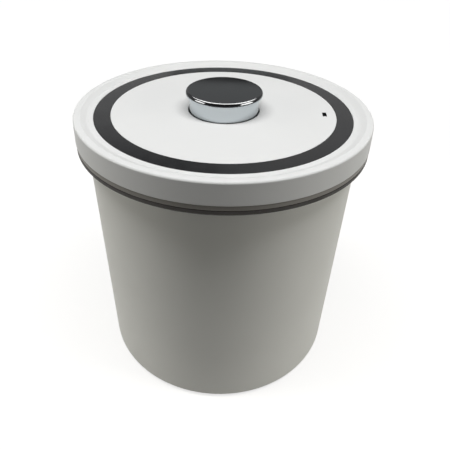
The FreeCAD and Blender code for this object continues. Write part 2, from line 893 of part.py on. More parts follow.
def make_piston_ring():
    inside = total(piston_groove_radius, "fit_gap")
    outside = total(bore_radius, "-running_gap")
    middle = f"({inside} + {outside}) / 2"
    half_height = "(sizes.piston_groove_height / 2 - sizes.fit_gap)"
    centre = f"({piston_under} + {piston_top}) / 2"
    foot = f"{centre} - {half_height}"
    top = f"{centre} + {half_height}"
    return turned("piston_ring", [
        (inside, foot),
        (middle, f"{foot} + sizes.piston_ring_notch"),
        (outside, foot),
        (outside, top),
        (inside, top),
    ])


def make_piston_screw():
    return screw("piston_screw", "piston_screw_radius", total(spigot_foot, "piston_screw_grip"),
                 piston_screw_seat, "piston_screw_head_radius", "piston_screw_head", True)


def make_exhaust_valve():
    top = total(piston_top, "flap_thickness")
    return turned("exhaust_valve", [
        (flap_inside, piston_top),
        (flap_radius, piston_top),
        (flap_radius, top),
        (flap_inside, top),
    ])


def make_return_spring():
    return coil("return_spring", "sizes.spring_radius", "sizes.spring_wire", "sizes.spring_turns",
                gland_top, ceiling_under)


# Release pin, which lets air back in when it is pressed

def at_release(feature):
    feature.setExpression("Placement.Base.x", release_radius)
    return feature


def make_release_pin():
    body = turned("release_pin", [
        ("0", pin_foot),
        (total("pin_radius"), pin_foot),
        (total("pin_radius"), collar_under),
        (total("pin_collar_radius"), collar_under),
        (total("pin_collar_radius"), collar_top),
        ("0", collar_top),
    ])
    head = rectangle(body, "pin_head", "0", "sizes.slot_width - 2 * sizes.pin_clearance",
                     "sizes.slot_length - 2 * sizes.pin_clearance", collar_top)
    grow(body, head, total(pin_top, "-" + collar_top))
    return at_release(body)


def make_release_poppet():
    socket = total("pin_radius", "fit_gap")
    body = turned("release_poppet", [
        ("0", poppet_under),
        (total("pin_seal_radius"), poppet_under),
        (total("pin_seal_radius"), pin_seal_under),
        (socket, pin_seal_under),
        (socket, pin_foot),
        ("0", pin_foot),
    ])
    round_edges(body, "sizes.poppet_edge_round", (total("pin_seal_radius"), poppet_under))
    return at_release(body)


def make_release_seal():
    inside = total("pin_radius", "fit_gap")
    return at_release(turned("release_seal", [
        (inside, pin_seal_under),
        (total("pin_seal_radius"), pin_seal_under),
        (total("pin_seal_radius"), dish_under),
        (inside, dish_under),
    ]))


def make_release_spring():
    spring = coil("release_spring", "sizes.pin_spring_radius", "sizes.pin_spring_wire",
                  "sizes.pin_spring_turns", pin_seat, collar_under)
    spring.Placement = Placement(Vector(number(release_radius), 0, 0), Rotation())
    return spring


makers = [
    make_canister_body,
    make_lid_cover,
    make_trim_ring,
    make_lid_gasket,
    make_lid_base,
    make_cover_screws,
    make_screw_seals,
    make_pump_barrel,
    make_barrel_seal,
    make_barrel_nut,
    make_barrel_gland,
    make_inlet_filter,
    make_filter_cap,
    make_intake_valve,
    make_knob_shell,
    make_knob_cap,
    make_knob_screw,
    make_pump_rod,
    make_piston,
    make_piston_ring,
    make_piston_screw,
    make_exhaust_valve,
    make_return_spring,
    make_release_pin,
    make_release_poppet,
    make_release_seal,
    make_release_spring,
]
pieces = [make() for make in makers]
doc.recompute()

# Everything has to be sound before a file is written

for item in doc.Objects:
    if {"Invalid", "Error"} & set(item.State):
        raise RuntimeError(f"{item.Label} failed: {item.State}")
for piece in pieces:
    if piece.Shape.isNull() or not piece.Shape.isValid():
        raise RuntimeError(f"{piece.Label} has no sound shape")

os.makedirs("parts", exist_ok=True)
for piece in pieces:
    piece.Shape.exportStep(f"parts/{piece.Label}.step")
    box = piece.Shape.BoundBox
    print(f"{piece.Label}: {len(piece.Shape.Solids)} solid(s), {piece.Shape.Volume:.1f} mm3, "
          f"z {box.ZMin:.2f} to {box.ZMax:.2f}")
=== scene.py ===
import json
import math
import bpy
import bmesh
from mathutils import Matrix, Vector

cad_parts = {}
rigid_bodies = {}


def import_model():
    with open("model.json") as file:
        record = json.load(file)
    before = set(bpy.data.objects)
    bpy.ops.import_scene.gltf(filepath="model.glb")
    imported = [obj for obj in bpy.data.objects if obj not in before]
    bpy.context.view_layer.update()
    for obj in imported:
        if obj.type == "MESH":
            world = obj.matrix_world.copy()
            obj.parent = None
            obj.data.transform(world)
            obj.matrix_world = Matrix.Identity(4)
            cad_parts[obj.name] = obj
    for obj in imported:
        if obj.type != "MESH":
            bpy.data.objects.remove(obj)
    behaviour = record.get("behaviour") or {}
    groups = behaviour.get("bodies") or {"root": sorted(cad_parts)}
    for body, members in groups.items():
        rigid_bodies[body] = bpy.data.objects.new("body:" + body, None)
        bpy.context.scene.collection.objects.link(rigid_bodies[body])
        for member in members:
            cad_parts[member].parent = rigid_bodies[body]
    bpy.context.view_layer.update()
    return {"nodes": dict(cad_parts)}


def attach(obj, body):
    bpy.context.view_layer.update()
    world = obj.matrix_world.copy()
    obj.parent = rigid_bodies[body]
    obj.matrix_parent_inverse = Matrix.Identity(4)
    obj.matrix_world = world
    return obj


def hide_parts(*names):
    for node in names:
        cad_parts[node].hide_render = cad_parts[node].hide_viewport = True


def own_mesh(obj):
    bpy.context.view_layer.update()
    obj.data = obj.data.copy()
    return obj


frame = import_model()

# pieces and the camera are given in mm, the studio in metres; c is the dictionary of what a function makes
mm = 0.001
mergeReach = 1e-6  # points nearer than this, in metres, are one
print("frame loaded, CAD nodes:", len(frame["nodes"]))

# a fresh file has a cube, a lamp and a camera in it
bpy.ops.object.select_all(action="DESELECT")
for leftover in ("Cube", "Light", "Camera"):
    if leftover in bpy.data.objects:
        bpy.data.objects[leftover].select_set(True)
bpy.ops.object.delete()


# ways of shaping

def startOutline(name, outline):
    # a half section of radius and height, drawn point by point
    bpy.ops.object.select_all(action="DESELECT")
    bpy.ops.mesh.primitive_plane_add(size=mm)
    piece = bpy.context.object
    piece.name = name
    piece.data.name = name
    bpy.ops.object.mode_set(mode="EDIT")
    bpy.ops.mesh.select_all(action="SELECT")
    bpy.ops.mesh.merge(type="CENTER")
    if outline[0][0] > 0:
        outline = outline + outline[:1]  # a ring's section is closed
    bpy.ops.transform.translate(value=(outline[0][0] * mm, 0, outline[0][1] * mm))
    for (radius, height), (nextRadius, nextHeight) in zip(outline, outline[1:]):
        step = ((nextRadius - radius) * mm, 0, (nextHeight - height) * mm)
        bpy.ops.mesh.extrude_vertices_move(TRANSFORM_OT_translate={"value": step})
    bpy.ops.mesh.select_all(action="SELECT")
    bpy.ops.mesh.remove_doubles(threshold=mergeReach)
    return piece


def roundCorner(piece, spot, size, segments):
    # the outline's point nearest to the spot gets a round of this radius
    bpy.ops.mesh.select_all(action="DESELECT")
    outline = bmesh.from_edit_mesh(piece.data)
    target = Vector((spot[0] * mm, 0, spot[1] * mm))
    corner = min(outline.verts, key=lambda vert: (vert.co - target).length)
    ways = [edge.other_vert(corner).co - corner.co for edge in corner.link_edges]
    reach = size * mm / math.tan(ways[0].angle(ways[1]) / 2)
    corner.select_set(True)
    bmesh.update_edit_mesh(piece.data)
    bpy.ops.mesh.bevel(offset=reach, segments=segments, affect="VERTICES", clamp_overlap=False)


def turnOutline(piece, steps):
    bpy.ops.mesh.select_all(action="SELECT")
    bpy.ops.mesh.spin(steps=steps, angle=2 * math.pi, center=(0, 0, 0), axis=(0, 0, 1))
    bpy.ops.mesh.select_all(action="SELECT")
    bpy.ops.mesh.remove_doubles(threshold=mergeReach)
    bpy.ops.mesh.normals_make_consistent(inside=False)
    bpy.ops.object.mode_set(mode="OBJECT")


def pickOnly(piece):
    bpy.ops.object.select_all(action="DESELECT")
    piece.select_set(True)
    bpy.context.view_layer.objects.active = piece


def carve(piece, tool, way):
    # joins or cuts with a second solid, which is then gone
    pickOnly(piece)
    bpy.ops.object.modifier_add(type="BOOLEAN")
    change = piece.modifiers[-1]
    change.operation = way
    change.solver = "EXACT"
    change.object = tool
    bpy.ops.object.modifier_apply(modifier=change.name)
    pickOnly(tool)
    bpy.ops.object.delete()


def smoothPiece(piece, degrees=32):
    pickOnly(piece)
    bpy.ops.object.shade_smooth_by_angle(angle=math.radians(degrees))
    bpy.ops.object.modifier_add(type="WEIGHTED_NORMAL")
    evened = piece.modifiers[-1]
    evened.keep_sharp = True
    bpy.ops.object.modifier_apply(modifier=evened.name)


def place(piece, body, nodes, finish):
    smoothPiece(piece)
    piece.data.materials.clear()
    piece.data.materials.append(finish)
    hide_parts(*nodes)
    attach(piece, body)
    print("made", piece.name, "faces", len(piece.data.polygons))


# ways of finishing

class Finish:
    def __init__(self, name):
        self.material = bpy.data.materials.new(name)
        self.material.use_nodes = True
        self.nodes = self.material.node_tree.nodes
        self.links = self.material.node_tree.links
        self.shader = self.nodes["Principled BSDF"]
        self.coords = self.nodes.new("ShaderNodeTexCoord").outputs["Object"]

    def fix(self, **amounts):
        for socket, amount in amounts.items():
            self.shader.inputs[socket.replace("_", " ")].default_value = amount
        return self

    def stretch(self, scale):
        mapping = self.nodes.new("ShaderNodeMapping")
        mapping.inputs["Scale"].default_value = scale
        self.links.new(self.coords, mapping.inputs["Vector"])
        return mapping.outputs["Vector"]

    def cloud(self, scale, detail, along=None):
        noise = self.nodes.new("ShaderNodeTexNoise")
        noise.inputs["Scale"].default_value = scale
        noise.inputs["Detail"].default_value = detail
        self.links.new(along or self.coords, noise.inputs["Vector"])
        return noise.outputs["Fac"]

    def spread(self, source, low, high, start=0.3, end=0.7):
        span = self.nodes.new("ShaderNodeMapRange")
        for socket, amount in (("From Min", start), ("From Max", end), ("To Min", low), ("To Max", high)):
            span.inputs[socket].default_value = amount
        self.links.new(source, span.inputs["Value"])
        return span.outputs["Result"]

    def blend(self, share, first, second):
        mix = self.nodes.new("ShaderNodeMix")
        mix.data_type = "RGBA"
        self.links.new(share, mix.inputs["Factor"])
        # sockets 6 and 7 take a Mix node's colours, and 2 gives the result
        for socket, colour in zip((mix.inputs[6], mix.inputs[7]), (first, second)):
            if isinstance(colour, bpy.types.NodeSocket):
                self.links.new(colour, socket)
            else:
                socket.default_value = (*colour, 1)
        return mix.outputs[2]

    def times(self, first, second):
        product = self.nodes.new("ShaderNodeMath")
        product.operation = "MULTIPLY"
        self.links.new(first, product.inputs[0])
        self.links.new(second, product.inputs[1])
        return product.outputs[0]

    def axes(self):
        parts = self.nodes.new("ShaderNodeSeparateXYZ")
        self.links.new(self.coords, parts.inputs["Vector"])
        return parts.outputs

    def within(self, centre, half):
        # one inside a box
        axes = self.axes()
        share = None
        for axis, middle, reach in zip("XYZ", centre, half):
            near = self.nodes.new("ShaderNodeMath")
            near.operation = "COMPARE"
            near.inputs[1].default_value, near.inputs[2].default_value = middle * mm, reach * mm
            self.links.new(axes[axis], near.inputs[0])
            share = self.times(share, near.outputs[0]) if share else near.outputs[0]
        return share

    def wear(self, socket, source):
        self.links.new(source, self.shader.inputs[socket])

    def tint(self, share, deep, pale):
        self.wear("Base Color", self.blend(self.spread(share, 0, 1), deep, pale))

    def overlay(self, share, colour):
        # one more colour over what the base colour already shows
        clean = self.shader.inputs["Base Color"].links[0].from_socket
        self.wear("Base Color", self.blend(share, clean, colour))

    def relief(self, *layers):
        # each layer is a source, a depth and a strength
        below = None
        for source, depth, strength in layers:
            bump = self.nodes.new("ShaderNodeBump")
            bump.inputs["Distance"].default_value = depth * mm
            bump.inputs["Strength"].default_value = strength
            self.links.new(source, bump.inputs["Height"])
            if below:
                self.links.new(below, bump.inputs["Normal"])
            below = bump.outputs["Normal"]
        self.links.new(below, self.shader.inputs["Normal"])


moulding = {"waveDepth": 0.02, "grainDepth": 0.01, "sheenScale": 3.1}


def mouldedPlastic(name, look):
    # satin injection moulding: faint mottle, slow waves and a fine grain
    finish = Finish(name)
    finish.tint(finish.cloud(look["mottle"], detail=4), look["deep"], look["pale"])
    sheen = finish.cloud(look["mottle"] * moulding["sheenScale"], detail=5)
    finish.wear("Roughness", finish.spread(sheen, *look["rough"]))
    finish.relief((finish.cloud(look["wave"], detail=2), moulding["waveDepth"], look["waveStrength"]),
                  (finish.cloud(look["grain"], detail=2), moulding["grainDepth"], look["grainStrength"]))
    finish.fix(Specular_IOR_Level=look["gloss"])
    return finish


# canister: one deep moulding on a foot ring

canister = {
    "radius": 70.7, "wall": 2.6, "height": 136.5, "floor": 4.2, "recess": 1.0,
    "footInside": 60.7, "footSlope": 0.3, "footRound": 0.4, "footEdgeRound": 0.3,
    "baseRound": 4.0, "insideRound": 5.0, "rimRound": 0.6, "steps": 240,
    "gateRadius": 4.0, "gateDepth": 0.5, "gateSlope": 0.4, "stepRadius": 33.0, "stepDepth": 0.25, "stepSlope": 0.3,
    "look": {"pale": (0.89, 0.892, 0.858), "deep": (0.87, 0.872, 0.838), "rough": (0.50, 0.60), "gloss": 0.10,
             "mottle": 26, "wave": 90, "waveStrength": 0.12, "grain": 1700, "grainStrength": 0.05},
    "scuff": {"colour": (0.52, 0.51, 0.49), "scale": 420, "share": 0.5, "from": 0.45, "to": 0.75, "height": 1.2},
}


def makeCanister(c):
    mouth = c["radius"] - c["wall"]
    recess = c["recess"]
    gateTop = recess + c["gateDepth"]
    stepTop = recess + c["stepDepth"]
    footEdge = c["footInside"] + c["footSlope"]
    piece = startOutline("canister", [
        (0, gateTop), (c["gateRadius"], gateTop), (c["gateRadius"] + c["gateSlope"], stepTop),
        (c["stepRadius"], stepTop), (c["stepRadius"] + c["stepSlope"], recess), (c["footInside"], recess),
        (footEdge, 0), (c["radius"], 0), (c["radius"], c["height"]), (mouth, c["height"]),
        (mouth, c["floor"]), (0, c["floor"])])
    roundCorner(piece, (c["radius"], 0), c["baseRound"], segments=10)
    roundCorner(piece, (mouth, c["floor"]), c["insideRound"], segments=8)
    roundCorner(piece, (c["radius"], c["height"]), c["rimRound"], segments=4)
    roundCorner(piece, (mouth, c["height"]), c["rimRound"], segments=4)
    roundCorner(piece, (c["footInside"], recess), c["footRound"], segments=3)
    roundCorner(piece, (footEdge, 0), c["footEdgeRound"], segments=3)
    turnOutline(piece, c["steps"])
    finish = mouldedPlastic("canister white", c["look"])
    # the foot ring is scuffed where it stands
    scuff = c["scuff"]
    scuffs = finish.spread(finish.cloud(scuff["scale"], detail=6), 0, scuff["share"], scuff["from"], scuff["to"])
    low = finish.spread(finish.axes()["Z"], 1, 0, 0, scuff["height"] * mm)
    finish.overlay(finish.times(scuffs, low), scuff["colour"])
    place(piece, "canister", ["canister_body"], finish.material)


makeCanister(canister)


# lid shell: raised rim, sloping inner edge, skirt, slot and the posts below

lidShell = {
    "radius": 75.95, "topRadius": 75.5, "skirtFoot": 141.0, "deck": 150.4, "crest": 152.1, "crestRadius": 72.1,
    "slopeFoot": 69.0, "ringOutside": 66.05, "ringInside": 57.65, "ringDepth": 1.2, "knobHole": 18.5, "deckWall": 2.4,
    "skirtWall": 2.2, "collarWall": 1.6, "collarDepth": 3.0, "edgeRound": 1.0, "crestRound": 1.0, "slopeRound": 3.0,
    "skirtRound": 0.5, "holeRound": 0.2, "grooveRound": 0.12, "underRound": 0.8, "steps": 240,
    "postCount": 4, "postAngle": 45, "postCircle": 48.75, "postSides": 32, "postRadius": 3.6, "postFoot": 132.1,
    "pilotRadius": 1.45, "pilotDepth": 10.0, "overlap": 0.5, "cutPast": 1.0,
    "slotPlace": 51.8, "slotWidth": 1.95, "slotLength": 4.6, "slotRound": 0.14, "guideWall": 1.4, "guideFoot": 146.0,
    "look": {"pale": (0.757, 0.762, 0.757), "deep": (0.737, 0.742, 0.737), "rough": (0.42, 0.50), "gloss": 0.15,
             "mottle": 24, "wave": 70, "waveStrength": 0.1, "grain": 1900, "grainStrength": 0.04},
    # black painted into the slot as the shade inside it, reaching a little past its edge
    "paintedSlotShade": (0.012, 0.012, 0.013), "paintedShadeReach": 0.1,
}


def blockOf(name, size, centre):
    bpy.ops.object.select_all(action="DESELECT")
    bpy.ops.mesh.primitive_cube_add(size=1, location=[value * mm for value in centre],
                                    scale=[value * mm for value in size])
    bpy.context.object.name = name
    bpy.ops.object.transform_apply(location=True, rotation=True, scale=True)
    return bpy.context.object


def rodsOf(name, radius, foot, top, c):
    # upright round bars on the posts' circle, as one tool
    bpy.ops.object.select_all(action="DESELECT")
    bars = []
    for index in range(c["postCount"]):
        angle = math.radians(c["postAngle"] + index * 360 / c["postCount"])
        across, along = c["postCircle"] * math.cos(angle), c["postCircle"] * math.sin(angle)
        bpy.ops.mesh.primitive_cylinder_add(vertices=c["postSides"], radius=radius * mm, depth=(top - foot) * mm,
                                            location=(across * mm, along * mm, (foot + top) / 2 * mm))
        bars.append(bpy.context.object)
    for bar in bars:
        bar.select_set(True)
    bpy.ops.object.join()
    bpy.context.object.name = name
    bpy.ops.object.transform_apply(location=True, rotation=True, scale=True)
    return bpy.context.object


def makeLidShell(c):
    under = c["deck"] - c["deckWall"]
    groove = c["deck"] - c["ringDepth"]
    skirtInside = c["radius"] - c["skirtWall"]
    collar = c["knobHole"] + c["collarWall"]
    piece = startOutline("lidShell", [
        (c["knobHole"], c["deck"]), (c["ringInside"], c["deck"]), (c["ringInside"], groove),
        (c["ringOutside"], groove), (c["ringOutside"], c["deck"]), (c["slopeFoot"], c["deck"]),
        (c["crestRadius"], c["crest"]), (c["topRadius"], c["crest"]), (c["radius"], c["skirtFoot"]),
        (skirtInside, c["skirtFoot"]), (skirtInside, under), (collar, under),
        (collar, under - c["collarDepth"]), (c["knobHole"], under - c["collarDepth"])])
    roundCorner(piece, (c["slopeFoot"], c["deck"]), c["slopeRound"], segments=6)
    roundCorner(piece, (c["crestRadius"], c["crest"]), c["crestRound"], segments=5)
    roundCorner(piece, (c["topRadius"], c["crest"]), c["edgeRound"], segments=8)
    roundCorner(piece, (c["radius"], c["skirtFoot"]), c["skirtRound"], segments=4)
    roundCorner(piece, (c["knobHole"], c["deck"]), c["holeRound"], segments=4)
    roundCorner(piece, (c["ringInside"], c["deck"]), c["grooveRound"], segments=2)
    roundCorner(piece, (c["ringOutside"], c["deck"]), c["grooveRound"], segments=2)
    roundCorner(piece, (skirtInside, under), c["underRound"], segments=3)
    turnOutline(piece, c["steps"])

    # posts with pilot holes, and a guide with the slot; both reach into the deck
    root = under + c["overlap"]
    carve(piece, rodsOf("posts", c["postRadius"], c["postFoot"], root, c), "UNION")
    guide = (c["slotWidth"] + 2 * c["guideWall"], c["slotLength"] + 2 * c["guideWall"], root - c["guideFoot"])
    carve(piece, blockOf("guide", guide, (c["slotPlace"], 0, (root + c["guideFoot"]) / 2)), "UNION")
    carve(piece, rodsOf("pilots", c["pilotRadius"], c["postFoot"] - c["cutPast"], c["postFoot"] + c["pilotDepth"], c),
          "DIFFERENCE")
    slotDepth = c["deck"] - c["guideFoot"]
    slotMiddle = (c["slotPlace"], 0, (c["deck"] + c["guideFoot"]) / 2)
    carve(piece, blockOf("slotTool", (c["slotWidth"], c["slotLength"], slotDepth + 2 * c["cutPast"]), slotMiddle),
          "DIFFERENCE")
    softenSlot(piece, c)

    finish = mouldedPlastic("lid white", c["look"])
    # the slot's walls get painted shade: black up to its rounded edge
    half = [length / 2 + c["paintedShadeReach"] for length in (c["slotWidth"], c["slotLength"], slotDepth)]
    finish.overlay(finish.within(slotMiddle, half), c["paintedSlotShade"])
    place(piece, "lid", ["lid_cover"], finish.material)


def softenSlot(piece, c):
    # a small round along the slot's upper edges
    slack = 0.01
    wallTilt = 0.1  # the most that a wall's normal may rise
    pickOnly(piece)
    bpy.ops.object.mode_set(mode="EDIT")
    bpy.ops.mesh.select_mode(type="EDGE")
    bpy.ops.mesh.select_all(action="DESELECT")
    shell = bmesh.from_edit_mesh(piece.data)
    for edge in shell.edges:
        onRim = all(abs(vert.co.z - c["deck"] * mm) < mergeReach
                    and abs(vert.co.x - c["slotPlace"] * mm) < (c["slotWidth"] / 2 + slack) * mm
                    and abs(vert.co.y) < (c["slotLength"] / 2 + slack) * mm for vert in edge.verts)
        onWall = any(abs(face.normal.z) < wallTilt for face in edge.link_faces)
        if onRim and onWall:
            edge.select_set(True)
    bmesh.update_edit_mesh(piece.data)
    bpy.ops.mesh.bevel(offset=c["slotRound"] * mm, segments=3, affect="EDGES")
    bpy.ops.mesh.select_mode(type="VERT")
    bpy.ops.object.mode_set(mode="OBJECT")


makeLidShell(lidShell)


# dark ring let flush into the lid

trimRing = {
    "inside": 57.7, "outside": 66.0, "foot": 149.2, "top": 150.4, "edgeRound": 0.2, "steps": 240,
    "look": {"pale": (0.014, 0.014, 0.015), "deep": (0.010, 0.010, 0.011), "rough": (0.16, 0.24), "gloss": 0.5,
             "mottle": 60, "wave": 120, "waveStrength": 0.06, "grain": 2600, "grainStrength": 0.16},
}


def makeTrimRing(c):
    piece = startOutline("trimRing", [(c["inside"], c["foot"]), (c["outside"], c["foot"]),
                                      (c["outside"], c["top"]), (c["inside"], c["top"])])
    roundCorner(piece, (c["outside"], c["top"]), c["edgeRound"], segments=3)
    roundCorner(piece, (c["inside"], c["top"]), c["edgeRound"], segments=3)
    turnOutline(piece, c["steps"])
    place(piece, "lid", ["trim_ring"], mouldedPlastic("inlay black", c["look"]).material)


makeTrimRing(trimRing)


# silicone seal between the lid and the canister

gasket = {
    "bore": 65.85, "outside": 75.8, "top": 138.8, "rim": 136.5, "sleeve": 67.45, "sleeveFoot": 130.9,
    "lipReach": 0.3, "lipHeight": 0.9, "lowerRound": 0.552, "upperRound": 0.25, "lipRound": 0.12, "steps": 240,
    "look": {"pale": (0.052, 0.047, 0.042), "deep": (0.038, 0.034, 0.031), "rough": (0.50, 0.62), "gloss": 0.35,
             "mottle": 40, "wave": 150, "waveStrength": 0.12, "grain": 1500, "grainStrength": 0.2},
    "lint": {"colour": (0.12, 0.115, 0.11), "scale": 900, "share": 0.6, "from": 0.71, "to": 0.78},
}


def makeGasket(c):
    lipFoot = c["sleeveFoot"] + c["lipHeight"]
    lipEdge = (c["sleeve"] + c["lipReach"], lipFoot)
    piece = startOutline("gasket", [
        (c["bore"], c["top"]), (c["outside"], c["top"]), (c["outside"], c["rim"]), (c["sleeve"], c["rim"]),
        (c["sleeve"], lipFoot + c["lipReach"]), lipEdge, (c["sleeve"], c["sleeveFoot"]),
        (c["bore"], c["sleeveFoot"])])
    roundCorner(piece, (c["outside"], c["rim"]), c["lowerRound"], segments=10)
    roundCorner(piece, (c["outside"], c["top"]), c["upperRound"], segments=3)
    roundCorner(piece, lipEdge, c["lipRound"], segments=3)
    turnOutline(piece, c["steps"])
    finish = mouldedPlastic("seal silicone", c["look"])
    # silicone holds specks of lint
    lint = c["lint"]
    specks = finish.spread(finish.cloud(lint["scale"], detail=1), 0, lint["share"], lint["from"], lint["to"])
    finish.overlay(specks, lint["colour"])
    place(piece, "lid", ["lid_gasket"], finish.material)


makeGasket(gasket)


# pump knob: chromed cup with a rounded lip

knob = {
    "radius": 18.0, "lip": 19.6, "foot": 146.4, "lipFoot": 158.3, "capSeat": 159.3,
    "inside": 16.6, "ceiling": 157.7, "hubRadius": 6.0, "hubFoot": 156.1, "sinkRadius": 2.95, "sinkFloor": 157.7,
    "screwHole": 1.35, "lipUnderRound": 0.3525, "seatRound": 0.08, "footRound": 0.35, "steps": 200,
    "colour": (0.60, 0.645, 0.67), "rough": (0.05, 0.12), "smudge": 55, "smudgeTone": 0.94,
    "ripple": 260, "rippleDepth": 0.01, "rippleStrength": 0.03,
}


def makeKnob(c):
    piece = startOutline("knob", [
        (c["radius"], c["foot"]), (c["radius"], c["lipFoot"]), (c["lip"], c["lipFoot"]),
        (c["lip"], c["capSeat"]), (c["sinkRadius"], c["capSeat"]),
        (c["sinkRadius"], c["sinkFloor"]), (c["screwHole"], c["sinkFloor"]), (c["screwHole"], c["hubFoot"]),
        (c["hubRadius"], c["hubFoot"]), (c["hubRadius"], c["ceiling"]), (c["inside"], c["ceiling"]),
        (c["inside"], c["foot"])])
    roundCorner(piece, (c["lip"], c["capSeat"]), c["seatRound"], segments=2)
    roundCorner(piece, (c["lip"], c["lipFoot"]), c["lipUnderRound"], segments=5)
    roundCorner(piece, (c["radius"], c["lipFoot"]), c["lipUnderRound"], segments=5)
    roundCorner(piece, (c["radius"], c["foot"]), c["footRound"], segments=3)
    turnOutline(piece, c["steps"])
    finish = Finish("knob chrome").fix(Metallic=1.0)
    smudge = finish.cloud(c["smudge"], detail=6)
    finish.tint(smudge, tuple(value * c["smudgeTone"] for value in c["colour"]), c["colour"])
    finish.wear("Roughness", finish.spread(smudge, *c["rough"]))
    finish.relief((finish.cloud(c["ripple"], detail=2), c["rippleDepth"], c["rippleStrength"]))
    place(piece, "pump", ["knob_shell"], finish.material)


makeKnob(knob)


# gloss black cap on the knob's lip: a disc and the rounded edge round it

knobCap = {
    "radius": 19.6, "foot": 159.3, "top": 160.65, "edgeRound": 1.215, "discRadius": 18.3, "steps": 200,
    "pale": (0.012, 0.012, 0.013), "deep": (0.008, 0.008, 0.009), "rough": (0.05, 0.11), "haze": 70,
    "ripple": 150, "rippleDepth": 0.01, "rippleStrength": 0.03,
}


def makeKnobCap(c):
    disc = startOutline("knobCap", [(0, c["foot"]), (c["discRadius"], c["foot"]), (c["discRadius"], c["top"]),
                                    (0, c["top"])])
    turnOutline(disc, c["steps"])
    edge = startOutline("knobCapEdge", [(c["discRadius"], c["foot"]), (c["radius"], c["foot"]),
                                        (c["radius"], c["top"]), (c["discRadius"], c["top"])])
    roundCorner(edge, (c["radius"], c["top"]), c["edgeRound"], segments=10)
    turnOutline(edge, c["steps"])
    finish = Finish("cap gloss black")
    haze = finish.cloud(c["haze"], detail=6)
    finish.tint(haze, c["deep"], c["pale"])
    finish.wear("Roughness", finish.spread(haze, *c["rough"]))
    finish.relief((finish.cloud(c["ripple"], detail=2), c["rippleDepth"], c["rippleStrength"]))
    for piece in (disc, edge):
        place(piece, "pump", ["knob_cap"], finish.material)


makeKnobCap(knobCap)


# the two coil springs

returnSpring = {"name": "returnSpring", "node": "return_spring", "coil": 9.0, "wire": 0.9, "turns": 4,
                "foot": 145.6, "top": 157.7, "across": 0.0, "joint": "pump_press", "keep": 0.38}
releaseSpring = {"name": "releaseSpring", "node": "release_spring", "coil": 2.5, "wire": 0.5, "turns": 5,
                 "foot": 134.5, "top": 140.0, "across": 51.8, "joint": "release_press", "keep": 0.70}
springWire = {"sides": 18, "turnSteps": 56,
              "look": {"pale": (0.60, 0.60, 0.59), "deep": (0.46, 0.46, 0.45), "rough": (0.22, 0.34)}}
drawnSteel = {"lines": 900, "lineDepth": 0.01, "lineStrength": 0.08, "patches": 350}


def makeSteel(name, look, along=(1, 1, 1)):
    finish = Finish(name).fix(Metallic=1.0)
    lines = finish.cloud(drawnSteel["lines"], detail=4, along=finish.stretch(along))
    finish.tint(lines, look["deep"], look["pale"])
    finish.wear("Roughness", finish.spread(finish.cloud(drawnSteel["patches"], detail=4), *look["rough"]))
    finish.relief((lines, drawnSteel["lineDepth"], drawnSteel["lineStrength"]))
    return finish.material


def makeSpring(c, finish):
    low = c["foot"] + c["wire"] / 2
    rise = (c["top"] - c["foot"] - c["wire"]) / c["turns"]
    bpy.ops.object.select_all(action="DESELECT")
    bpy.ops.mesh.primitive_circle_add(vertices=springWire["sides"], radius=c["wire"] / 2 * mm,
                                      location=(c["coil"] * mm, 0, low * mm), rotation=(math.pi / 2, 0, 0))
    piece = bpy.context.object
    piece.name = c["name"]
    bpy.ops.object.transform_apply(location=True, rotation=True, scale=True)
    bpy.ops.object.modifier_add(type="SCREW")
    wind = piece.modifiers[-1]
    wind.axis = "Z"
    wind.angle = 2 * math.pi
    wind.iterations = c["turns"]
    wind.screw_offset = rise * mm
    wind.steps = wind.render_steps = springWire["turnSteps"]
    bpy.ops.object.modifier_apply(modifier=wind.name)
    bpy.ops.object.mode_set(mode="EDIT")
    bpy.ops.mesh.select_all(action="SELECT")
    bpy.ops.mesh.remove_doubles(threshold=mergeReach)
    bpy.ops.mesh.fill_holes(sides=0)  # the two cut ends
    bpy.ops.mesh.select_all(action="SELECT")
    bpy.ops.mesh.normals_make_consistent(inside=False)
    bpy.ops.transform.translate(value=(c["across"] * mm, 0, 0))
    bpy.ops.object.mode_set(mode="OBJECT")
    place(piece, "lid", [c["node"]], finish)
    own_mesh(piece)


wireSteel = makeSteel("spring wire", springWire["look"])
makeSpring(returnSpring, wireSteel)
makeSpring(releaseSpring, wireSteel)


# felt disc behind the pump's grille

filterPad = {
    "inside": 2.9, "outside": 15.75, "foot": 119.9, "top": 122.5, "edge": 0.5, "steps": 72,
    "cuts": 3, "fuzz": 0.06, "fuzzEven": 0.2, "fuzzSeed": 7,
    "pale": (0.74, 0.72, 0.67), "deep": (0.60, 0.58, 0.53), "rough": 0.95, "gloss": 0.2,
    "fibres": 700, "fibreRun": (1, 2.4, 1.6), "fibreDepth": 0.2, "fibreStrength": 0.7,
}


def makeFilterPad(c):
    corners = [(c["inside"], c["foot"]), (c["outside"], c["foot"]), (c["outside"], c["top"]), (c["inside"], c["top"])]
    piece = startOutline("filterPad", corners)
    for spot in corners:
        roundCorner(piece, spot, c["edge"], segments=3)
    turnOutline(piece, c["steps"])
    pickOnly(piece)
    bpy.ops.object.mode_set(mode="EDIT")
    bpy.ops.mesh.select_all(action="SELECT")
    bpy.ops.mesh.subdivide(number_cuts=c["cuts"])
    bpy.ops.transform.vertex_random(offset=c["fuzz"] * mm, uniform=c["fuzzEven"], seed=c["fuzzSeed"])
    bpy.ops.object.mode_set(mode="OBJECT")
    finish = Finish("filter felt").fix(Roughness=c["rough"], Specular_IOR_Level=c["gloss"])
    fibres = finish.cloud(c["fibres"], detail=8, along=finish.stretch(c["fibreRun"]))
    finish.tint(fibres, c["deep"], c["pale"])
    finish.relief((fibres, c["fibreDepth"], c["fibreStrength"]))
    place(piece, "lid", ["inlet_filter"], finish.material)


makeFilterPad(filterPad)


# finishes for the CAD nodes that stay

def dress(material, *names):
    for name in names:
        for slot in bpy.data.objects[name].material_slots:
            slot.material = material


